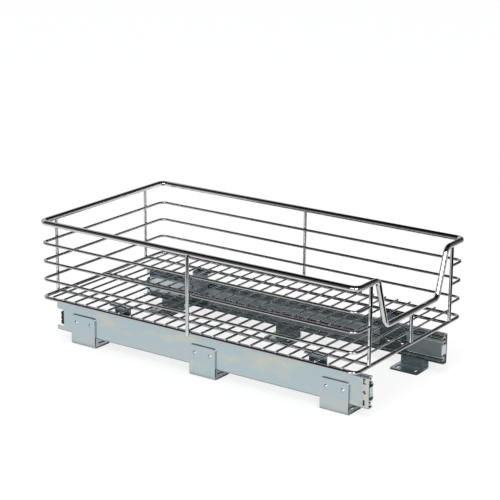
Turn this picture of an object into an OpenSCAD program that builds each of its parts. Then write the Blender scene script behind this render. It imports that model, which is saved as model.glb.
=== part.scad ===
// Pull-out wire basket on two full-extension ball-bearing slides.
// X is the width, Y the depth with the open front at -Y, Z up from the underside of the feet.

/* [Basket] */
// Depth of the basket over the rim rod, front to back
basket_length = 541; // [440:1:640]
// Width of the basket over the rim rod
basket_width = 292; // [276:1:420]
// Height of the rim's centre line above the floor frame's centre line
wall_height = 113.5; // [95:0.5:170]
// Diameter of the rim rod
rim_rod = 8; // [6:0.5:10]
// Diameter of the wires that run round the sides
side_wire = 4; // [3:0.5:5]
// Diameter of the upright posts
post_wire = 5; // [4:0.5:6.5]
// Diameter of the floor frame's wire
frame_wire = 5; // [4:0.5:6.5]
// Diameter of the floor's cross wires
cross_wire = 3; // [2:0.5:4]
// Diameter of the floor's lengthwise stringers
stringer_wire = 4.5; // [3.5:0.5:6]
// Number of cross wires in the floor
cross_wires = 25; // [15:1:31]
// Centre-line radius of every corner and bend
bend_radius = 10; // [8.5:0.5:14]
// Distance of the front posts from the centre line
post_spread = 109; // [104:0.5:118]
// Distance of the rear posts from the centre line
rear_post_spread = 104; // [98:0.5:112]
// How far the basket's middle stands ahead of the slides' middle
basket_ahead = 2; // [0:0.5:6]
// How far welded wires sink into each other
weld_bite = 0.3; // [0.2:0.05:0.5]

/* [Front handle] */
// Width of the dip in the rim, between the corners of its legs
dip_width = 185; // [176:1:195]
// Width of the grip bar at the bottom of the dip
grip_width = 139; // [110:1:150]
// Depth of the dip below the rim
dip_depth = 68.5; // [50:0.5:80]

/* [Slides] */
// Length of each slide
slide_length = 536.5; // [430:0.5:635]
// Height of the outer rail
slide_height = 45.7; // [45:0.1:48]
// Depth of a closed slide from the outer rail's back to the inner rail's face
slide_depth = 12.7; // [12.5:0.1:14]
// Distance between the backs of the two outer rails
slide_span = 215; // [212:1:222]
// Distance that the basket pulls out
travel = 500; // [300:1:505]
// Height of the slide's underside above the feet's underside
slide_lift = 14.9; // [12:0.1:25]
// Gap between the slide's top and the floor frame's underside
floor_gap = 12.7; // [8:0.1:20]
// Sheet of the outer rail
outer_sheet = 1.2; // [1:0.1:1.3]
// Sheet of the middle rail
middle_sheet = 1; // [0.8:0.1:1.1]
// Sheet of the inner rail
inner_sheet = 1.2; // [1:0.1:1.4]
// Diameter of the bearing balls
ball_d = 4; // [3.8:0.05:4.1]
// Distance of the balls' centres from the inner rail's face
ball_depth = 5.1; // [4.9:0.05:5.4]
// Running clearance between a ball and its race
ball_clearance = 0.05; // [0.03:0.01:0.08]
// Sheet of the ball cages
cage_sheet = 0.5; // [0.4:0.05:0.55]
// Clearance between a cage and the rails beside it
cage_gap = 0.6; // [0.4:0.05:0.7]
// Free run of the ball cages at full extension
cage_play = 28; // [10:1:40]
// Number of balls in each row
balls_per_row = 5; // [3:1:8]

/* [Rail ends] */
// Depth of the notch in the back end of the outer rail
notch_depth = 12.7; // [8:0.1:16]
// Top of the notch above the rail's centre
notch_top = 10.4; // [9:0.1:13]
// Bottom of the notch below the rail's centre
notch_bottom = 15.2; // [13:0.1:17]
// Height of the bumper's nose that shows in the notch
nose_height = 19.8; // [14:0.2:21]
// Length of the bumper along the slide
bumper_length = 8; // [7.5:0.5:10]
// How much of the bumper shows through the notch
bumper_show = 5.5; // [4:0.5:7]
// Gap between the closed rails and the bumper
stop_gap = 0.3; // [0.2:0.05:1]
// Distance of the pierced slots' back edges from the outer rail's front end
piercing_inset = 8.5; // [6:0.5:14]
// Gap between the inner rail's front tab and the middle rail's front end
tab_gap = 0.4; // [0.2:0.1:4]
// Height of the tab that is bent across each inner rail's front end
tab_height = 14; // [10:0.5:18]
// Gap between the tab's free edge and the outer rail's web
tab_clearance = 1.9; // [1:0.1:3]

/* [Feet brackets] */
// Width of each bracket along the slide
bracket_width = 44.5; // [36:0.5:56]
// Height of each bracket's plate above its foot's underside
bracket_height = 45.7; // [41:0.1:52]
// Depth of each bracket's foot
foot_depth = 35.5; // [30:0.5:45]
// Sheet of the brackets
bracket_sheet = 2.5; // [2:0.1:3]
// Distance of the end brackets' centres from the middle bracket's centre
bracket_pitch = 217; // [160:1:225]
// Width of a screw slot
slot_width = 5; // [4:0.1:6]
// Length of a screw slot, end to end
slot_length = 13; // [9:0.5:15]
// Distance between the two screw slots of a foot
slot_pitch = 29; // [22:0.5:34]
// Distance of the slots' centres from the outer rail's back
slot_inset = 21.5; // [18:0.5:23]
// Distance between the two rivets of a bracket
rivet_pitch = 26.5; // [20:0.5:32]
// Height of the brackets' rivets above the foot's underside
rivet_height = 34; // [29:0.5:36]
// Shank diameter of all rivets
rivet_d = 4; // [3.2:0.1:4.5]

/* [Basket carriers] */
// Width of each carrier's neck along the slide
carrier_width = 28; // [24:0.5:34]
// How far the carriers' shoulders reach past the neck, towards the basket's ends
shoulder_reach = 16; // [14:0.5:22]
// Height of the shoulders above the inner rail's lower edge
shoulder_height = 33; // [28:0.5:36]
// Diameter of the round boss pressed into each shoulder
boss_d = 16; // [12:0.5:18]
// Sheet of the carriers
carrier_sheet = 2; // [1.5:0.1:2.5]
// How far the carriers' top flange reaches out over the slide
flange_reach = 14.5; // [13:0.5:16]
// Distance of each side stringer inward from the outer rail's back
stringer_inset = 3.5; // [2.5:0.1:6]
// Centre of the front carriers, ahead of the slide's middle
front_carrier = 181; // [120:1:195]
// Centre of the rear carriers, behind the slide's middle
rear_carrier = 154; // [100:1:190]

/* [Hidden] */

$fn = 48;
CHROME = [0.86, 0.87, 0.89];
ZINC = [0.66, 0.74, 0.78];
DARK_ZINC = [0.45, 0.5, 0.53];
STEEL = [0.75, 0.76, 0.78];
BLACK = [0.08, 0.08, 0.09];
// A cut passes its wall by this much on each open side
over = 1;
// The two halves of the grip bar pass each other by this much at the middle
seam_lap = 0.05;

// Heights
slide_z = slide_lift + slide_height / 2;
frame_z = slide_lift + slide_height + floor_gap + frame_wire / 2;
rim_z = frame_z + wall_height;
grip_z = rim_z - dip_depth;
cross_z = frame_z + frame_wire / 2 + cross_wire / 2 - weld_bite;
stringer_z = cross_z - cross_wire / 2 - stringer_wire / 2 + weld_bite;
// Three side wires part the wall into four equal bays
wall_bays = 4;
function side_wire_z(i) = frame_z + (wall_height - rim_rod / 2) * i / wall_bays;

// The wires' centre lines stand half_x and half_y from the basket's middle
half_x = basket_width / 2 - rim_rod / 2;
half_y = basket_length / 2 - rim_rod / 2;
// Posts welded outside the side wires stand this far beyond them
post_step = side_wire / 2 + post_wire / 2 - weld_bite;
// The rear posts stick out behind, so the middle of it all sits forward by half of the difference
middle_y = -(post_step + post_wire / 2 - rim_rod / 2) / 2;
front_y = middle_y - half_y;
rear_y = middle_y + half_y;

// Slide sections: u runs inward from the outer rail's back, v runs up from the rail's centre
race_r = ball_d / 2 + ball_clearance;
ball_u = slide_depth - ball_depth;
outer_ball_v = slide_height / 2 - outer_sheet - race_r;
inner_ball_v = outer_ball_v - 2 * race_r - middle_sheet;
// The races' lips stop this many degrees short of the cage's plane
lip_angle = 15;
// The inner rail's race starts at this angle, where it leaves the fold
race_angle = 245;
// The middle rail's fold stops this far short of its races
fold_gap = 0.3;
outer_corner = 3;
inner_corner = 2.2;
outer_cage_u = outer_sheet + cage_gap;
middle_web_u = outer_cage_u + cage_sheet + cage_gap;
inner_cage_u = middle_web_u + middle_sheet + cage_gap;
cage_reach_u = slide_depth - inner_sheet - cage_gap;
slide_middle = middle_y + basket_ahead;
slide_front = slide_middle - slide_length / 2;
slide_rear = slide_middle + slide_length / 2;
notch_y = slide_rear - notch_depth;
bumper_rear = notch_y + bumper_show;
bumper_front = bumper_rear - bumper_length;
rails_rear = bumper_front - stop_gap;
middle_front = slide_front + inner_sheet + tab_gap;
// The cages fill what is left of the rails' overlap when the basket is right out
cage_length = rails_rear - slide_front - travel / 2 - cage_play;
cage_rear = (slide_front + rails_rear + cage_length) / 2;

// ---------- wires ----------

// Wires are drawn as on a bending bench: each step starts at the origin along +X, and carries the
// next one at its end
LEFT = 0;
RIGHT = 1;

module run(length, d) {
    rotate([0, 90, 0]) cylinder(h = length, d = d);
    translate([length, 0, 0]) children();
}

module bend(angle, d, way) {
    mirror([0, way, 0])
        translate([0, bend_radius, 0]) {
            rotate([0, 0, -90])
                rotate_extrude(angle = angle) translate([bend_radius, 0]) circle(d = d);
            rotate([0, 0, angle]) translate([0, -bend_radius, 0]) mirror([0, way, 0]) children();
        }
}

module both_sides() {
    children();
    mirror([1, 0, 0]) children();
}

// Half of a hoop, from the middle of the rear round one side to the front, where the rest goes on
module half_hoop(z, d) {
    translate([0, rear_y, z])
        run(half_x - bend_radius, d)
            bend(90, d, RIGHT)
                run(rear_y - front_y - 2 * bend_radius, d)
                    bend(90, d, RIGHT)
                        children();
}

// The rim dips at the front: its legs lean inward on their way down to the grip bar
dip_run = (dip_width - grip_width) / 2;
lean = atan2(dip_depth, dip_run);
lean_setback = bend_radius * tan(lean / 2);
leg = norm([dip_run, dip_depth]) - 2 * lean_setback;
shoulder = half_x - bend_radius - dip_width / 2 - lean_setback;

module rim() {
    color(CHROME)
        both_sides()
            half_hoop(rim_z, rim_rod)
                run(shoulder, rim_rod)
                    rotate([90, 0, 0])
                        bend(lean, rim_rod, RIGHT)
                            run(leg, rim_rod)
                                bend(lean, rim_rod, LEFT)
                                    run(grip_width / 2 - lean_setback + seam_lap, rim_rod);
}

// Each side wire starts and ends at a front post
module side_run(i) {
    color(CHROME)
        both_sides()
            half_hoop(side_wire_z(i), side_wire)
                run(half_x - bend_radius - post_spread, side_wire);
}

module floor_frame() {
    color(CHROME)
        both_sides()
            half_hoop(frame_z, frame_wire)
                run(half_x - bend_radius, frame_wire);
}

module floor_cross_wires() {
    reach = half_x + frame_wire / 4;
    color(CHROME)
        for (i = [1:cross_wires])
            translate([-reach, front_y + (rear_y - front_y) * i / (cross_wires + 1), cross_z])
                run(2 * reach, cross_wire);
}

// Stringers under the cross wires: one over each slide and one in the middle
stringer_x = slide_span / 2 - stringer_inset;

module floor_stringers() {
    inset = frame_wire / 2 - 2 * weld_bite;
    color(CHROME)
        for (x = [-stringer_x, 0, stringer_x])
            translate([x, front_y + inset, stringer_z])
                rotate([0, 0, 90])
                    run(rear_y - front_y - 2 * inset, stringer_wire);
}

module post(x, y, bottom, top) {
    color(CHROME) translate([x, y, bottom]) cylinder(h = top - bottom, d = post_wire);
}

// The front posts stand on the frame in the wires' own plane, and the wires butt against them
module front_post(side) {
    post(side * post_spread, front_y, frame_z + frame_wire / 2 - weld_bite,
        rim_z - rim_rod / 2 + weld_bite);
}

// Side and rear posts lap the outside of the wires, from the frame's underside to the rim's
rim_cover = max(0, post_step - post_wire / 2);
post_top = rim_z - sqrt(pow(rim_rod / 2, 2) - pow(rim_cover, 2)) + weld_bite;

module side_post(side) {
    post(side * (half_x + post_step), middle_y, frame_z - frame_wire / 2, post_top);
}

module rear_post(side) {
    post(side * rear_post_spread, rear_y + post_step, frame_z - frame_wire / 2, post_top);
}

module grip_post() {
    post(0, front_y, frame_z + frame_wire / 2 - weld_bite, grip_z - rim_rod / 2 + weld_bite);
}

// ---------- slides ----------

// The part of a ring between two angles
module ring_sector(r_in, r_out, from, to) {
    reach = 2 * r_out;
    steps = ceil((to - from) / 60);
    intersection() {
        difference() {
            circle(r_out);
            circle(r_in);
        }
        polygon(concat([[0, 0]], [for (i = [0:steps])
            let (a = from + (to - from) * i / steps) [reach * cos(a), reach * sin(a)]]));
    }
}

// Draws the upper half of a section and its mirror image below
module both_halves() {
    children();
    mirror([0, 1]) children();
}

// Channel that is screwed down: its lips close over the outer balls
module outer_section() {
    top = slide_height / 2;
    both_halves() {
        square([outer_sheet, top - outer_corner]);
        translate([outer_corner, top - outer_corner])
            ring_sector(outer_corner - outer_sheet, outer_corner, 90, 180);
        translate([outer_corner, top - outer_sheet]) square([ball_u - outer_corner, outer_sheet]);
        translate([ball_u, outer_ball_v]) ring_sector(race_r, race_r + outer_sheet, lip_angle, 90);
    }
}

// Rail between the two rows of balls on each edge
module middle_section() {
    neck_low = inner_ball_v + (race_r + middle_sheet) * sin(lip_angle);
    neck_high = outer_ball_v - (race_r + middle_sheet) * sin(lip_angle);
    neck_u = ball_u - race_r - fold_gap;
    both_halves() {
        translate([middle_web_u, 0]) square([middle_sheet, neck_high]);
        translate([middle_web_u, neck_low]) square([neck_u - middle_web_u, neck_high - neck_low]);
        translate([ball_u, outer_ball_v])
            ring_sector(race_r, race_r + middle_sheet, 180 + lip_angle, 360 - lip_angle);
        translate([ball_u, inner_ball_v])
            ring_sector(race_r, race_r + middle_sheet, lip_angle, 180 - lip_angle);
    }
}

// Rail that carries the basket: a channel whose back faces the basket
module inner_section() {
    top = inner_ball_v - race_r;
    both_halves() {
        translate([slide_depth - inner_sheet, 0]) square([inner_sheet, top - inner_corner]);
        translate([slide_depth - inner_corner, top - inner_corner])
            ring_sector(inner_corner - inner_sheet, inner_corner, 0, 90);
        translate([ball_u, top - inner_sheet])
            square([slide_depth - inner_corner - ball_u, inner_sheet]);
        translate([ball_u, inner_ball_v])
            ring_sector(race_r, race_r + inner_sheet, race_angle, 360 - lip_angle);
    }
}

// Strip that wraps a rail and spaces the balls of both edges
module cage_section(web_u, ball_v) {
    top = ball_v + cage_sheet / 2;
    both_halves() {
        translate([web_u, 0]) square([cage_sheet, top]);
        translate([web_u, top - cage_sheet]) square([cage_reach_u - web_u, cage_sheet]);
    }
}

// Stands a section of the left slide up between two stations along Y
module along_slide(from, to) {
    translate([-slide_span / 2, to, slide_z])
        rotate([90, 0, 0])
            linear_extrude(to - from) children();
}

// Left side as drawn, right side as its mirror image
module on_side(side) {
    mirror([side > 0 ? 1 : 0, 0, 0]) children();
}

// A hole through the outer rail's back
module back_hole(y, v, d) {
    translate([-slide_span / 2 - over, y, slide_z + v])
        rotate([0, 90, 0]) cylinder(h = outer_sheet + 2 * over, d = d);
}

// A window through the outer rail's back, between two stations and two heights
module back_window(y_from, y_to, v_from, v_to) {
    translate([-slide_span / 2 - over, y_from, slide_z + v_from])
        cube([outer_sheet + 2 * over, y_to - y_from, v_to - v_from]);
}

// A lanced hook, a round hole and a slot in a column near the front end of the outer rail
hook_slit = 2;
hook_arm = 1.6;
hook_reach = 2.2;
hook_low = 11.4;
hook_high = 19.4;
gauge_hole_d = 4.8;
slot_d = 3.2;
slot_low = -17.4;
slot_high = -12;

module front_piercings() {
    station = slide_front + piercing_inset;
    back_window(station - hook_slit, station, hook_low, hook_high);
    for (v = [hook_low, hook_high - hook_arm])
        back_window(station - hook_slit - hook_reach, station - hook_slit / 2, v, v + hook_arm);
    back_hole(station - gauge_hole_d / 2, 0, gauge_hole_d);
    for (v = [slot_low, slot_high])
        back_hole(station - slot_d / 2, v, slot_d);
    back_window(station - slot_d, station, slot_low, slot_high);
}

// The notch's upper inside corner is cut off at an angle
notch_chamfer = 2.5;

module rear_notch() {
    translate([-slide_span / 2 - over, 0, slide_z])
        rotate([90, 0, 90])
            linear_extrude(outer_sheet + 2 * over)
                polygon([
                    [slide_rear + over, -notch_bottom], [notch_y, -notch_bottom],
                    [notch_y, notch_top - notch_chamfer], [notch_y + notch_chamfer, notch_top],
                    [slide_rear + over, notch_top]
                ]);
}

module outer_rail(side) {
    color(ZINC)
        on_side(side)
            difference() {
                along_slide(slide_front, slide_rear) outer_section();
                front_piercings();
                rear_notch();
                for (index = [-1:1], end = [-1, 1])
                    back_hole(bracket_rivet_y(index, end), rivet_height - slide_z, rivet_d);
            }
}

module middle_rail(side) {
    color(DARK_ZINC) on_side(side) along_slide(middle_front, rails_rear) middle_section();
}

// The inner rail's front tab, bent round from its back towards the outer rail
module front_tab() {
    tab_u = outer_sheet + tab_clearance;
    turn = inner_sheet + bend_inside;
    translate([-slide_span / 2, slide_front, slide_z - tab_height / 2]) {
        translate([tab_u, 0, 0])
            cube([slide_depth - turn - tab_u, inner_sheet, tab_height]);
        translate([slide_depth - turn, turn, 0])
            linear_extrude(tab_height) ring_sector(bend_inside, turn, 270, 360);
    }
}

// Room for the tab's bend in the inner rail's back
module tab_relief() {
    turn = inner_sheet + bend_inside;
    translate([-slide_span / 2 + slide_depth - turn, slide_front - over, slide_z - tab_height / 2])
        cube([turn + over, turn + over, tab_height]);
}

module inner_rail(side) {
    color(ZINC)
        on_side(side) {
            difference() {
                along_slide(slide_front, rails_rear) inner_section();
                tab_relief();
                for (station = stations)
                    rivet_holes(station);
            }
            front_tab();
        }
}

function ball_y(i) = cage_rear - cage_length * (i - 0.5) / balls_per_row;

module cage(side, web_u, ball_v) {
    color(STEEL)
        on_side(side)
            difference() {
                along_slide(cage_rear - cage_length, cage_rear) cage_section(web_u, ball_v);
                for (i = [1:balls_per_row])
                    translate([-slide_span / 2 + ball_u, ball_y(i), slide_z - slide_height / 2])
                        cylinder(h = slide_height, d = 2 * race_r);
            }
}

module balls(side, ball_v) {
    color(STEEL)
        on_side(side)
            for (i = [1:balls_per_row], v = [-ball_v, ball_v])
                translate([-slide_span / 2 + ball_u, ball_y(i), slide_z + v]) sphere(d = ball_d);
}

// Plastic stop in the back end of the outer rail
bumper_play = 0.6;
nose_v = (notch_top - notch_bottom) / 2;

// Past the rail's lips the block is lower, so that it sits between them
module bumper_section() {
    high = slide_height / 2 - outer_sheet;
    waist = outer_ball_v - bumper_play;
    lip_u = ball_u - bumper_play;
    front_u = cage_reach_u - bumper_play;
    both_halves()
        polygon([
            [outer_sheet, 0], [outer_sheet, high - outer_corner], [outer_corner, high],
            [lip_u, high], [lip_u, waist], [front_u, waist], [front_u, 0]
        ]);
}

// The nose stands out of the notch in three rounded ribs, flush with the rail's outside
nose_ribs = 3;
rib_swell = 1.4;

module bumper_nose() {
    rib = nose_height / nose_ribs;
    rib_r = (rib * rib / 4 + rib_swell * rib_swell) / (2 * rib_swell);
    front_u = cage_reach_u - bumper_play;
    for (i = [1:nose_ribs])
        translate([-slide_span / 2, 0, slide_z + nose_v + nose_height / 2 - i * rib])
            intersection() {
                translate([0, notch_y, 0]) cube([front_u, bumper_show, rib]);
                translate([-over, bumper_rear - rib_r, rib / 2])
                    rotate([0, 90, 0]) cylinder(h = front_u + 2 * over, r = rib_r);
            }
    translate([-slide_span / 2 + outer_sheet, bumper_front, slide_z + nose_v - nose_height / 2])
        cube([front_u - outer_sheet, bumper_rear - rib_swell - bumper_front, nose_height]);
}

module bumper(side) {
    color(BLACK)
        on_side(side) {
            along_slide(bumper_front, notch_y) bumper_section();
            bumper_nose();
        }
}

// ---------- feet brackets ----------

plate_x = -slide_span / 2 - bracket_sheet;
plate_corner = 3.5;
foot_corner = 3;
// Inside radius of the bends in the brackets and carriers
bend_inside = 1;
// Two darts per bracket, pressed slantwise into the bend: a rib inside and a dent outside
dart_pitch = 26;
dart_d = 4.5;
dart_reach = 12;
dent_d = 4;
dent_depth = 1.2;

// The dent's axis stands this far outside the bend's inner corner
dent_out = bracket_sheet + bend_inside - sqrt(2) * bend_inside - dent_depth + dent_d / 2;

function bracket_y(index) = slide_middle + index * bracket_pitch;
function bracket_rivet_y(index, end) = bracket_y(index) + end * rivet_pitch / 2;

// L-shaped section with a rounded bend
module bracket_section() {
    outer_bend = bracket_sheet + bend_inside;
    translate([0, outer_bend]) square([bracket_sheet, bracket_height - outer_bend]);
    translate([outer_bend, 0]) square([foot_depth - outer_bend, bracket_sheet]);
    translate([outer_bend, outer_bend]) ring_sector(bend_inside, outer_bend, 180, 270);
}

// Waste outside a rounded corner of radius r, open towards +X and +Y, of the given height
module corner_waste(r, h) {
    difference() {
        cube([r + over, r + over, h]);
        translate([0, 0, -over]) cylinder(h = h + 2 * over, r = r);
    }
}

// A screw slot along X through the foot
module foot_slot(y) {
    run = slot_length - slot_width;
    translate([-slide_span / 2 + slot_inset - run / 2, y, -over]) {
        for (x = [0, run])
            translate([x, 0, 0]) cylinder(h = bracket_sheet + 2 * over, d = slot_width);
        translate([0, -slot_width / 2, 0]) cube([run, slot_width, bracket_sheet + 2 * over]);
    }
}

// A rod across the bend at 45 degrees, set outward by so much
module dart_rod(y, d, set_out) {
    translate([plate_x + bracket_sheet, y, bracket_sheet])
        rotate([0, -45, 0])
            translate([-set_out, 0, 0]) cylinder(h = dart_reach, d = d, center = true);
}

// The ribs of the two darts, down to the middle of the sheet
module dart_ribs(centre) {
    intersection() {
        for (end = [-1, 1])
            dart_rod(centre + end * dart_pitch / 2, dart_d, 0);
        translate([plate_x + bracket_sheet / 2, centre - bracket_width / 2, bracket_sheet / 2])
            cube([dart_reach, bracket_width, dart_reach]);
    }
}

// What the two free corners lose at one end of the bracket
module end_corners(centre, end) {
    thick = bracket_sheet + 2 * over;
    half = bracket_width / 2;
    translate([plate_x - over, centre + end * (half - plate_corner), bracket_height - plate_corner])
        rotate([0, 90, 0]) rotate([0, 0, end > 0 ? 90 : 180]) corner_waste(plate_corner, thick);
    translate([plate_x + foot_depth - foot_corner, centre + end * (half - foot_corner), -over])
        rotate([0, 0, end > 0 ? 0 : -90]) corner_waste(foot_corner, thick);
}

module bracket(side, index) {
    centre = bracket_y(index);
    color(ZINC)
        on_side(side)
            difference() {
                union() {
                    translate([plate_x, centre + bracket_width / 2, 0])
                        rotate([90, 0, 0]) linear_extrude(bracket_width) bracket_section();
                    dart_ribs(centre);
                }
                for (end = [-1, 1]) {
                    foot_slot(centre + end * slot_pitch / 2);
                    dart_rod(centre + end * dart_pitch / 2, dent_d, dent_out);
                    end_corners(centre, end);
                    across(bracket_rivet_y(index, end), rivet_height - slide_z,
                        -bracket_sheet - over, bracket_sheet + 2 * over, rivet_d);
                }
            }
}

// ---------- basket carriers ----------

carrier_x = -slide_span / 2 + slide_depth;
carrier_low = -inner_ball_v + race_r;
flange_z = stringer_z - stringer_wire / 2 + weld_bite;
rivet_v = -4;
shoulder_corner = 4;
boss_rise = 1.5;
// The boss stands this far below the shoulder's top
boss_drop = 2;
boss_v = carrier_low + shoulder_height - boss_d / 2 - boss_drop;

// Front carriers point their shoulders forward, rear ones backward: [station, direction]
stations = [[slide_middle - front_carrier, -1], [slide_middle + rear_carrier, 1]];
function shoulder_y(station) = station[0] + station[1] * (carrier_width + shoulder_reach) / 2;

// A round hole or pin along X, starting at depth u of the slide
module across(y, v, u, h, d) {
    translate([-slide_span / 2 + u, y, slide_z + v])
        rotate([0, 90, 0]) cylinder(h = h, d = d);
}

module rivet_holes(station) {
    for (y = [station[0], shoulder_y(station)])
        across(y, rivet_v, slide_depth - inner_sheet - over,
            inner_sheet + carrier_sheet + 2 * over, rivet_d);
}

// Neck of the carrier, with the flange that reaches out under the stringer
module carrier_neck(y) {
    bend_r = carrier_sheet + bend_inside;
    top = flange_z - slide_z;
    along_slide(y - carrier_width / 2, y + carrier_width / 2)
        translate([slide_depth, 0]) {
            translate([0, carrier_low]) square([carrier_sheet, top - bend_r - carrier_low]);
            translate([-bend_inside, top - bend_r]) ring_sector(bend_inside, bend_r, 0, 90);
            translate([carrier_sheet - flange_reach, top - carrier_sheet])
                square([flange_reach - bend_r, carrier_sheet]);
        }
}

// Shoulder beside the neck, its free end rounded above and below
module carrier_shoulder(station) {
    root = station[0];
    tip = root + station[1] * (carrier_width / 2 + shoulder_reach);
    low = carrier_low + shoulder_corner;
    high = carrier_low + shoulder_height - shoulder_corner;
    inner = tip - station[1] * shoulder_corner;
    for (v = [low, high])
        across(inner, v, slide_depth, carrier_sheet, 2 * shoulder_corner);
    translate([carrier_x, min(root, inner), slide_z + carrier_low])
        cube([carrier_sheet, abs(inner - root), shoulder_height]);
    translate([carrier_x, min(root, tip), slide_z + low])
        cube([carrier_sheet, abs(tip - root), high - low]);
}

module carrier(side, station) {
    color(ZINC)
        on_side(side)
            difference() {
                union() {
                    carrier_neck(station[0]);
                    carrier_shoulder(station);
                    across(shoulder_y(station), boss_v, slide_depth, carrier_sheet + boss_rise,
                        boss_d);
                }
                across(shoulder_y(station), boss_v, slide_depth - over, boss_rise + over,
                    boss_d - 2 * carrier_sheet);
                rivet_holes(station);
            }
}

// ---------- rivets ----------

head_r = 0.8 * rivet_d;
head_rise = 0.35 * rivet_d;
head_flat = 1;

module dome() {
    ball_r = (head_r * head_r + head_rise * head_rise) / (2 * head_rise);
    intersection() {
        translate([0, 0, head_rise - ball_r]) sphere(ball_r);
        cylinder(h = head_rise + over, r = head_r);
    }
}

// Domed head on the carrier, flat head inside the inner rail
module carrier_rivet(y) {
    across(y, rivet_v, slide_depth - inner_sheet, inner_sheet + carrier_sheet, rivet_d);
    across(y, rivet_v, slide_depth - inner_sheet - head_flat, head_flat, 2 * head_r);
    translate([carrier_x + carrier_sheet, y, slide_z + rivet_v]) rotate([0, 90, 0]) dome();
}

// Domed head on the bracket, flush with the outer rail's inside
module bracket_rivet(y) {
    across(y, rivet_height - slide_z, -bracket_sheet, bracket_sheet + outer_sheet, rivet_d);
    translate([plate_x, y, rivet_height]) rotate([0, -90, 0]) dome();
}

module carrier_rivets() {
    color(STEEL)
        for (side = [-1, 1], station = stations, y = [station[0], shoulder_y(station)])
            on_side(side) carrier_rivet(y);
}

module bracket_rivets() {
    color(STEEL)
        for (side = [-1, 1], index = [-1:1], end = [-1, 1])
            on_side(side) bracket_rivet(bracket_rivet_y(index, end));
}

rim();
side_run(3);  // upper_side_wire
side_run(2);  // middle_side_wire
side_run(1);  // lower_side_wire
floor_frame();
floor_cross_wires();
floor_stringers();
front_post(-1);  // left_front_post
front_post(1);  // right_front_post
side_post(-1);  // left_side_post
side_post(1);  // right_side_post
rear_post(-1);  // left_rear_post
rear_post(1);  // right_rear_post
grip_post();
carrier(-1, stations[0]);  // left_front_carrier
carrier(-1, stations[1]);  // left_rear_carrier
carrier(1, stations[0]);  // right_front_carrier
carrier(1, stations[1]);  // right_rear_carrier
carrier_rivets();
inner_rail(-1);  // left_inner_rail
inner_rail(1);  // right_inner_rail
middle_rail(-1);  // left_middle_rail
middle_rail(1);  // right_middle_rail
outer_rail(-1);  // left_outer_rail
outer_rail(1);  // right_outer_rail
cage(-1, outer_cage_u, outer_ball_v);  // left_outer_cage
cage(1, outer_cage_u, outer_ball_v);  // right_outer_cage
cage(-1, inner_cage_u, inner_ball_v);  // left_inner_cage
cage(1, inner_cage_u, inner_ball_v);  // right_inner_cage
balls(-1, outer_ball_v);  // left_outer_balls
balls(1, outer_ball_v);  // right_outer_balls
balls(-1, inner_ball_v);  // left_inner_balls
balls(1, inner_ball_v);  // right_inner_balls
bumper(-1);  // left_bumper
bumper(1);  // right_bumper
bracket_rivets();
bracket(-1, -1);  // left_front_bracket
bracket(-1, 0);  // left_middle_bracket
bracket(-1, 1);  // left_rear_bracket
bracket(1, -1);  // right_front_bracket
bracket(1, 0);  // right_middle_bracket
bracket(1, 1);  // right_rear_bracket
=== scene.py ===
"""Looks for the pull-out wire basket: materials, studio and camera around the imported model."""

import math

import bmesh
import bpy
from mathutils import Matrix, Vector


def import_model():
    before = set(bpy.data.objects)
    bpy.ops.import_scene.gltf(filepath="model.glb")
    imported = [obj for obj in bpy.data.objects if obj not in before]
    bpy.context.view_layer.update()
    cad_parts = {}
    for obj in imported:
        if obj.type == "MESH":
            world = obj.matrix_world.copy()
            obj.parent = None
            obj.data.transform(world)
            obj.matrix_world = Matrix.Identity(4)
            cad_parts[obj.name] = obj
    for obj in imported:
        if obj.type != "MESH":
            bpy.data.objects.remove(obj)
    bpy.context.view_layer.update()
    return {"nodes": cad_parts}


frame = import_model()

# ---------- the photograph's camera, in the model's frame ----------
IMAGE_SIZE = 500
FOCAL_PIXELS = 1637.4
SENSOR_MM = 36.0
AZIMUTH = math.radians(-55.238)
ELEVATION = math.radians(16.642)
ROLL = math.radians(0.485)
CAMERA_PLACE = Vector((-1.8334, -1.2755, 0.8276))
CLIP_NEAR, CLIP_FAR = 0.05, 50

# ---------- finishes ----------
CHROME_TINT = (0.66, 0.67, 0.69)
# Painted shade: the thin wires are the rim's chrome, made darker to stand in for the dark
# reflections that they show.
THIN_WIRE_PAINTED_DARK_TINT = (0.50, 0.51, 0.53)
BALL_TINT = (0.72, 0.73, 0.75)
CHROME_WARMTH = (0.97, 0.93, 0.90)
CHROME_ROUGHNESS = 0.05
BALL_ROUGHNESS = 0.08

ZINC_BLUE = (0.43, 0.52, 0.55)
ZINC_BEIGE = (0.53, 0.55, 0.49)
ZINC_PINK = (0.485, 0.515, 0.515)
# Painted shade: a darker copy of the zinc, for the middle rails inside the slides and the
# carriers' patches.
ZINC_PAINTED_SHADE = (0.33, 0.40, 0.43)
# Painted light: a lighter copy of the zinc, for the inner rails' webs, which are lit inside the
# slides.
ZINC_PAINTED_LIGHT = (0.58, 0.66, 0.69)
ZINC_CREAM = (0.56, 0.56, 0.50)
# Painted shade: the carriers are the same zinc, darkened for the shade under the basket's floor.
CARRIER_PAINTED_SHADE_BLUE = (0.20, 0.26, 0.29)
ZINC_METALLIC = 0.94
# How rough the zinc is, from the outer rails and brackets to the ball cages.
GLOSSY_ZINC, PLAIN_ZINC, DULL_ZINC, STRIP_ZINC = 0.22, 0.25, 0.34, 0.35
# The brackets' and carriers' clouds start elsewhere in the noise.
BRACKET_SEED, CARRIER_SEED = 3.0, 5.0
# The outer rails turn cream between these two values of Y, at their front ends.
CREAM_EDGE = (-0.2575, -0.2635)

PLASTIC_BLACK = (0.012, 0.012, 0.014)
PLASTIC_LIGHTER = 2.2
PLASTIC_ROUGHNESS = 0.6
PLASTIC_SPECULAR = 0.2

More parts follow.
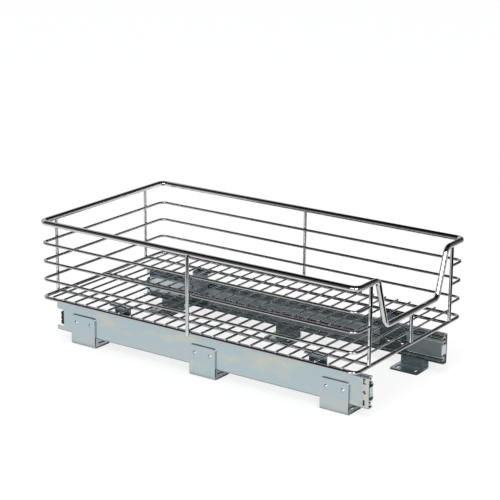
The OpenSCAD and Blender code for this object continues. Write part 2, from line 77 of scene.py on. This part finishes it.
# ---------- surface detail ----------
# Noise has a scale in features per metre and a count of finer layers, its detail. Stops are
# where along the noise a colour begins, shares multiply a roughness at the noise's two ends,
# and a bump is a strength and a depth in metres.
PLAIN_DETAIL, FINE_DETAIL = 3.0, 2.0
HAZE_SCALE, HAZE_STOPS, HAZE_SHARES = 60.0, (0.38, 0.68), (0.6, 1.8)
RIPPLE_SCALE, RIPPLE_DETAIL, RIPPLE_BUMP = 220.0, 1.0, (0.04, 0.0004)
CLOUD_SCALE, CLOUD_DETAIL, CLOUD_STRETCH = 34.0, 6.0, (1.0, 0.4, 1.0)
CLOUD_STOPS = (0.34, 0.45, 0.54, 0.66)
PATCH_SCALE, PATCH_DETAIL, PATCH_SHARES = 90.0, 5.0, (0.75, 1.35)
GRAIN_SCALE, GRAIN_STRETCH, GRAIN_BUMP = 700.0, (1.0, 0.08, 1.0), (0.06, 0.0003)
MOTTLE_SCALE, MOTTLE_STOPS, MOTTLE_ROUGHNESS = 260.0, (0.35, 0.7), (0.5, 0.72)
PEBBLE_SCALE, PEBBLE_BUMP = 1800.0, (0.25, 0.0002)

# ---------- CAD nodes by finish ----------
RODS = [
    "rim", "left_front_post", "right_front_post", "left_side_post", "right_side_post",
    "left_rear_post", "right_rear_post", "grip_post",
]
THIN_WIRES = [
    "upper_side_wire", "middle_side_wire", "lower_side_wire", "floor_frame",
    "floor_cross_wires", "floor_stringers",
]
RIVETS = ["carrier_rivets", "bracket_rivets"]
SIDES = ("left", "right")


def both_sides(*names):
    """The left and right nodes of each name."""
    return [f"{side}_{name}" for side in SIDES for name in names]


# ---------- node tree helpers ----------
def new_material(name):
    """An empty material and its node tree."""
    material = bpy.data.materials.new(name)
    material.use_nodes = True
    tree = material.node_tree
    tree.nodes.clear()
    return material, tree


def add(tree, kind, **settings):
    """Adds a shader node and sets its attributes."""
    node = tree.nodes.new(kind)
    for key, value in settings.items():
        setattr(node, key, value)
    return node


def set_surface(tree, shader, kind="ShaderNodeOutputMaterial"):
    """Makes a shader the surface of a material or the world."""
    output = add(tree, kind)
    tree.links.new(shader.outputs[0], output.inputs["Surface"])


def rgba(colour):
    return (*colour, 1.0)


def principled(tree, colour, metallic, roughness):
    shader = add(tree, "ShaderNodeBsdfPrincipled")
    shader.inputs["Base Color"].default_value = rgba(colour)
    shader.inputs["Metallic"].default_value = metallic
    shader.inputs["Roughness"].default_value = roughness
    set_surface(tree, shader)
    return shader


def object_place(tree):
    """The point's place in the object's own coordinates."""
    return add(tree, "ShaderNodeTexCoord").outputs["Object"]


def object_axes(tree):
    """The object's own X, Y and Z, each as a socket."""
    axes = add(tree, "ShaderNodeSeparateXYZ")
    tree.links.new(object_place(tree), axes.inputs[0])
    return axes.outputs


def noise(tree, scale, detail=PLAIN_DETAIL, stretch=(1, 1, 1), offset=(0, 0, 0)):
    """Noise over the object's own coordinates."""
    mapping = add(tree, "ShaderNodeMapping")
    mapping.inputs["Scale"].default_value = stretch
    mapping.inputs["Location"].default_value = offset
    texture = add(tree, "ShaderNodeTexNoise")
    texture.inputs["Scale"].default_value = scale
    texture.inputs["Detail"].default_value = detail
    tree.links.new(object_place(tree), mapping.inputs["Vector"])
    tree.links.new(mapping.outputs["Vector"], texture.inputs["Vector"])
    return texture.outputs["Fac"]


def ramp(tree, factor, stops, colours):
    """Colours along a factor, each from its own stop."""
    node = add(tree, "ShaderNodeValToRGB")
    elements = node.color_ramp.elements
    while len(elements) < len(stops):
        elements.new(stops[-1])
    for element, stop, colour in zip(elements, stops, colours):
        element.position = stop
        element.color = rgba(colour)
    tree.links.new(factor, node.inputs["Fac"])
    return node.outputs["Color"]


def turn_into(tree, factor, colour, other):
    """A colour socket that becomes another colour as the factor goes from 0 to 1."""
    blend = add(tree, "ShaderNodeMix", data_type="RGBA")
    tree.links.new(factor, blend.inputs["Factor"])
    tree.links.new(colour, blend.inputs["A"])
    blend.inputs["B"].default_value = rgba(other)
    return blend.outputs["Result"]


def spread(tree, factor, low, high):
    """Maps a 0 to 1 factor onto low to high."""
    node = add(tree, "ShaderNodeMapRange")
    node.inputs["To Min"].default_value = low
    node.inputs["To Max"].default_value = high
    tree.links.new(factor, node.inputs["Value"])
    return node.outputs["Result"]


def bump(tree, shader, height, strength, distance):
    node = add(tree, "ShaderNodeBump")
    node.inputs["Strength"].default_value = strength
    node.inputs["Distance"].default_value = distance
    tree.links.new(height, node.inputs["Height"])
    tree.links.new(node.outputs["Normal"], shader.inputs["Normal"])


def combine(tree, operation, *values):
    """A maths node over sockets or numbers."""
    node = add(tree, "ShaderNodeMath", operation=operation)
    for socket, value in zip(node.inputs, values):
        if isinstance(value, (int, float)):
            socket.default_value = value
        else:
            tree.links.new(value, socket)
    return node.outputs[0]


def soft_step(tree, value, start, end):
    """0 before start, 1 after end, smooth between."""
    node = add(tree, "ShaderNodeMapRange", interpolation_type="SMOOTHSTEP")
    node.inputs["From Min"].default_value = start
    node.inputs["From Max"].default_value = end
    tree.links.new(value, node.inputs["Value"])
    return node.outputs["Result"]


# ---------- materials ----------
def chrome(name, tint, roughness=CHROME_ROUGHNESS):
    """Bright plate with the faint ripple of drawn wire under it."""
    material, tree = new_material(name)
    shader = principled(tree, tint, 1.0, roughness)
    haze = noise(tree, HAZE_SCALE)
    warmer = tuple(value * share for value, share in zip(tint, CHROME_WARMTH))
    colour = ramp(tree, haze, HAZE_STOPS, (tint, warmer))
    tree.links.new(colour, shader.inputs["Base Color"])
    cloudy = spread(tree, haze, *(roughness * share for share in HAZE_SHARES))
    tree.links.new(cloudy, shader.inputs["Roughness"])
    ripple = noise(tree, RIPPLE_SCALE, detail=RIPPLE_DETAIL)
    bump(tree, shader, ripple, *RIPPLE_BUMP)
    return material


def zinc(name, base, blush, warm, roughness, seed=0.0, cream_front=False):
    """Blue-passivated zinc: cloudy base, warm and blush patches with a rolled grain."""
    material, tree = new_material(name)
    shader = principled(tree, base, ZINC_METALLIC, roughness)
    clouds = noise(tree, CLOUD_SCALE, CLOUD_DETAIL, CLOUD_STRETCH, (seed, seed, 0))
    colour = ramp(tree, clouds, CLOUD_STOPS, (warm, base, base, blush))
    if cream_front:
        front = soft_step(tree, object_axes(tree)["Y"], *CREAM_EDGE)
        colour = turn_into(tree, front, colour, ZINC_CREAM)
    tree.links.new(colour, shader.inputs["Base Color"])
    patches = noise(tree, PATCH_SCALE, PATCH_DETAIL, offset=(0, seed, 0))
    cloudy = spread(tree, patches, *(roughness * share for share in PATCH_SHARES))
    tree.links.new(cloudy, shader.inputs["Roughness"])
    grain = noise(tree, GRAIN_SCALE, FINE_DETAIL, GRAIN_STRETCH)
    bump(tree, shader, grain, *GRAIN_BUMP)
    return material


def plastic(name, colour):
    """Black moulded plastic with a fine pebble."""
    material, tree = new_material(name)
    shader = principled(tree, colour, 0.0, PLASTIC_ROUGHNESS)
    shader.inputs["Specular IOR Level"].default_value = PLASTIC_SPECULAR
    mottle = noise(tree, MOTTLE_SCALE)
    lighter = tuple(value * PLASTIC_LIGHTER for value in colour)
    mottled = ramp(tree, mottle, MOTTLE_STOPS, (colour, lighter))
    tree.links.new(mottled, shader.inputs["Base Color"])
    tree.links.new(spread(tree, mottle, *MOTTLE_ROUGHNESS), shader.inputs["Roughness"])
    pebble = noise(tree, PEBBLE_SCALE, FINE_DETAIL)
    bump(tree, shader, pebble, *PEBBLE_BUMP)
    return material


def dress(nodes, material):
    """Gives CAD nodes their finish, with smooth shading over their exact surfaces."""
    for name in nodes:
        mesh = frame["nodes"][name].data
        mesh.materials.clear()
        mesh.materials.append(material)
        for polygon in mesh.polygons:
            polygon.use_smooth = True


def dress_all():
    """Gives every CAD node its finish."""
    dress(RODS, chrome("bright_chrome", CHROME_TINT))
    # The thin wires get the darker chrome, which is painted shade.
    dress(THIN_WIRES, chrome("wire_chrome", THIN_WIRE_PAINTED_DARK_TINT))
    dress(
        both_sides("outer_rail"),
        zinc("rail_zinc", ZINC_BLUE, ZINC_PINK, ZINC_BEIGE, GLOSSY_ZINC, cream_front=True),
    )
    dress(
        both_sides("front_bracket", "middle_bracket", "rear_bracket"),
        zinc("bracket_zinc", ZINC_BLUE, ZINC_PINK, ZINC_BEIGE, GLOSSY_ZINC, seed=BRACKET_SEED),
    )
    # The carriers' darker zinc is painted shade.
    dress(
        both_sides("front_carrier", "rear_carrier"),
        zinc("carrier_zinc", CARRIER_PAINTED_SHADE_BLUE, ZINC_PAINTED_SHADE, ZINC_PAINTED_SHADE, PLAIN_ZINC, seed=CARRIER_SEED),
    )
    # The inner rails get the lighter zinc, which is painted light.
    dress(
        both_sides("inner_rail"),
        zinc("inner_zinc", ZINC_PAINTED_LIGHT, ZINC_BLUE, ZINC_PAINTED_LIGHT, DULL_ZINC),
    )
    # The middle rails get the darker zinc, which is painted shade for the inside of the slides.
    dress(
        both_sides("middle_rail"),
        zinc("middle_zinc", ZINC_PAINTED_SHADE, ZINC_BLUE, ZINC_BEIGE, PLAIN_ZINC),
    )
    dress(
        both_sides("outer_cage", "inner_cage"),
        zinc("cage_strip", ZINC_BEIGE, ZINC_BLUE, ZINC_BEIGE, STRIP_ZINC),
    )
    dress(
        both_sides("outer_balls", "inner_balls"),
        chrome("ball_steel", BALL_TINT, BALL_ROUGHNESS),
    )
    dress(RIVETS, zinc("rivet_zinc", ZINC_BLUE, ZINC_BEIGE, ZINC_BLUE, PLAIN_ZINC))
    dress(both_sides("bumper"), plastic("bumper_plastic", PLASTIC_BLACK))


# ---------- studio ----------
FLOOR_REACH = 12.0
# The floor lies this far under the feet, so that the two don't share a plane.
FLOOR_DROP = 0.0002
FLOOR_COLOUR = 0.4
FLOOR_GLOW = 0.62
ROOM_LIGHT = 0.62
ROOM_COLOUR = (0.98, 0.99, 1.0)
WHITE = (1, 1, 1)

# What polished metal sees of the table: how deep the shade under the basket is, where it ends
# to the sides and to the front and rear, and where the table goes dark and comes back.
CONTACT_SHADE = 0.95
CONTACT_EDGE_X = (0.085, 0.130)
CONTACT_EDGE_Y = (0.24, 0.30)
TABLE_EDGE_X = (-0.80, -0.30)
TABLE_EDGE_Y = (-0.50, -0.39)
TABLE_BEYOND_Y = (-0.85, -1.15)

# What it sees of the room: greys by height, as a share of the radius, and a pale backdrop in
# the directions that lie far enough towards one side.
TENT_RADIUS = 2.5
TENT_SEGMENTS = 48
TENT_FOOT = -0.01
TENT_STOPS = (0.0, 0.18, 0.5, 0.7)
TENT_GREYS = (
    (0.42, 0.42, 0.43), (0.11, 0.11, 0.11), (0.05, 0.045, 0.045), (0.008, 0.007, 0.007),
)
BACKDROP_TOWARDS = (0.35, 0.94, 0.0)
BACKDROP_EDGE = (0.56, 0.66)
BACKDROP_COLOUR = (0.62, 0.62, 0.63)

SUN_STRENGTH = 1.1
SUN_ANGLE = math.radians(45)
SUN_DIRECTION = (0.5, 0.25, -1.0)
# Softboxes: name, place, size and power.
SOFTBOXES = [
    ("left_box", (-2.11, -0.18, 0.8), (1.2, 0.6), 18),
    ("front_box", (-1.49, -1.49, 0.8), (1.0, 0.6), 16),
]
SOFTBOX_TARGET = (0, 0, 0.1)


def link_object(name, data):
    holder = bpy.data.objects.new(name, data)
    bpy.context.collection.objects.link(holder)
    return holder


def ray_kind(tree, *kinds):
    """1 for the rays of the named kinds, 0 for the others."""
    rays = add(tree, "ShaderNodeLightPath")
    total = rays.outputs[kinds[0]]
    for kind in kinds[1:]:
        total = combine(tree, "MAXIMUM", total, rays.outputs[kind])
    return total


def table_light(tree):
    """How bright polished metal sees the table: shaded under the basket, dark past its edges."""
    axes = object_axes(tree)
    beside = soft_step(tree, combine(tree, "ABSOLUTE", axes["X"]), *CONTACT_EDGE_X)
    ahead = soft_step(tree, combine(tree, "ABSOLUTE", axes["Y"]), *CONTACT_EDGE_Y)
    clear = combine(tree, "MAXIMUM", beside, ahead)
    contact = combine(tree, "MULTIPLY_ADD", clear, CONTACT_SHADE, 1.0 - CONTACT_SHADE)
    near_x = soft_step(tree, axes["X"], *TABLE_EDGE_X)
    near_y = soft_step(tree, axes["Y"], *TABLE_EDGE_Y)
    beyond_y = soft_step(tree, axes["Y"], *TABLE_BEYOND_Y)
    edges = combine(tree, "MULTIPLY", near_x, combine(tree, "MAXIMUM", near_y, beyond_y))
    return combine(tree, "MULTIPLY", edges, contact)


def floor():
    """A wide pale floor that the camera sees near white, with the basket's shadow on it."""
    reach = FLOOR_REACH
    mesh = bpy.data.meshes.new("floor")
    corners = [(-reach, -reach, 0), (reach, -reach, 0), (reach, reach, 0), (-reach, reach, 0)]
    mesh.from_pydata(corners, [], [(0, 1, 2, 3)])
    plane = link_object("floor", mesh)
    plane.location.z = -FLOOR_DROP
    material, tree = new_material("studio_floor")
    diffuse = add(tree, "ShaderNodeBsdfDiffuse")
    diffuse.inputs["Color"].default_value = rgba([FLOOR_COLOUR] * 3)
    glow = add(tree, "ShaderNodeEmission")
    direct = ray_kind(tree, "Is Camera Ray", "Is Transmission Ray")
    glossy = ray_kind(tree, "Is Glossy Ray")
    seen = combine(tree, "MULTIPLY", direct, FLOOR_GLOW)
    mirrored = combine(tree, "MULTIPLY", glossy, table_light(tree))
    tree.links.new(combine(tree, "MAXIMUM", seen, mirrored), glow.inputs["Strength"])
    # Glossy rays get the glow alone: their share of the diffuse shader goes to the empty input.
    unmirrored = add(tree, "ShaderNodeMixShader")
    tree.links.new(glossy, unmirrored.inputs["Fac"])
    tree.links.new(diffuse.outputs[0], unmirrored.inputs[1])
    total = add(tree, "ShaderNodeAddShader")
    tree.links.new(unmirrored.outputs[0], total.inputs[0])
    tree.links.new(glow.outputs[0], total.inputs[1])
    set_surface(tree, total)
    mesh.materials.append(material)


def world():
    """White behind everything that is seen directly, and an even grey room to light by."""
    room = bpy.data.worlds.new("studio")
    bpy.context.scene.world = room
    room.use_nodes = True
    tree = room.node_tree
    tree.nodes.clear()
    light = add(tree, "ShaderNodeBackground")
    light.inputs["Color"].default_value = rgba(ROOM_COLOUR)
    light.inputs["Strength"].default_value = ROOM_LIGHT
    white = add(tree, "ShaderNodeBackground")
    white.inputs["Color"].default_value = rgba(WHITE)
    blend = add(tree, "ShaderNodeMixShader")
    direct = ray_kind(tree, "Is Camera Ray", "Is Glossy Ray", "Is Transmission Ray")
    tree.links.new(direct, blend.inputs["Fac"])
    tree.links.new(light.outputs[0], blend.inputs[1])
    tree.links.new(white.outputs[0], blend.inputs[2])
    set_surface(tree, blend, "ShaderNodeOutputWorld")


def tent():
    """The dark room and the pale backdrop that only polished metal shows."""
    form = bmesh.new()
    bmesh.ops.create_uvsphere(
        form, u_segments=TENT_SEGMENTS, v_segments=TENT_SEGMENTS, radius=TENT_RADIUS
    )
    low = [v for v in form.verts if v.co.z < TENT_FOOT]
    bmesh.ops.delete(form, geom=low, context="VERTS")
    mesh = bpy.data.meshes.new("tent")
    form.to_mesh(mesh)
    form.free()
    shell = link_object("tent", mesh)
    for sight in ("camera", "diffuse", "transmission", "volume_scatter", "shadow"):
        setattr(shell, f"visible_{sight}", False)
    material, tree = new_material("studio_tent")
    height = combine(tree, "DIVIDE", object_axes(tree)["Z"], TENT_RADIUS)
    towards = add(tree, "ShaderNodeVectorMath", operation="DOT_PRODUCT")
    towards.inputs[1].default_value = [share / TENT_RADIUS for share in BACKDROP_TOWARDS]
    tree.links.new(object_place(tree), towards.inputs[0])
    behind = soft_step(tree, towards.outputs["Value"], *BACKDROP_EDGE)
    glow = add(tree, "ShaderNodeEmission")
    near = ramp(tree, height, TENT_STOPS, TENT_GREYS)
    colour = turn_into(tree, behind, near, BACKDROP_COLOUR)
    tree.links.new(colour, glow.inputs["Color"])
    set_surface(tree, glow)
    mesh.materials.append(material)


def aim(lamp_object, direction):
    """Turns a lamp to shine along a direction."""
    lamp_object.rotation_mode = "QUATERNION"
    lamp_object.rotation_quaternion = Vector(direction).to_track_quat("-Z", "Y")


def softbox(name, place, size, power):
    """A rectangular studio lamp that faces the basket."""
    lamp = bpy.data.lights.new(name, "AREA")
    lamp.shape = "RECTANGLE"
    lamp.size, lamp.size_y = size
    lamp.energy = power
    holder = link_object(name, lamp)
    holder.location = place
    aim(holder, Vector(SOFTBOX_TARGET) - Vector(place))


def lights():
    """A wide soft sun for the even part, and two softboxes for the highlights on the chrome."""
    sun = bpy.data.lights.new("sun", "SUN")
    sun.energy = SUN_STRENGTH
    sun.angle = SUN_ANGLE
    aim(link_object("sun", sun), SUN_DIRECTION)
    for box in SOFTBOXES:
        softbox(*box)


def camera():
    """The camera that the photograph was solved for, with its slight roll."""
    back = Vector((
        math.sin(AZIMUTH) * math.cos(ELEVATION),
        -math.cos(AZIMUTH) * math.cos(ELEVATION),
        math.sin(ELEVATION),
    ))
    right = Vector((math.cos(AZIMUTH), math.sin(AZIMUTH), 0))
    up = back.cross(right)
    rolled_right = right * math.cos(ROLL) + up * math.sin(ROLL)
    rolled_up = up * math.cos(ROLL) - right * math.sin(ROLL)
    lens = bpy.data.cameras.new("camera")
    lens.sensor_width = SENSOR_MM
    lens.lens = FOCAL_PIXELS * SENSOR_MM / IMAGE_SIZE
    lens.clip_start, lens.clip_end = CLIP_NEAR, CLIP_FAR
    holder = link_object("camera", lens)
    turn = Matrix((rolled_right, rolled_up, back)).transposed()
    holder.matrix_world = Matrix.Translation(CAMERA_PLACE) @ turn.to_4x4()
    bpy.context.scene.camera = holder


camera()
dress_all()
floor()
world()
tent()
lights()
bpy.context.scene.view_settings.view_transform = "Standard"
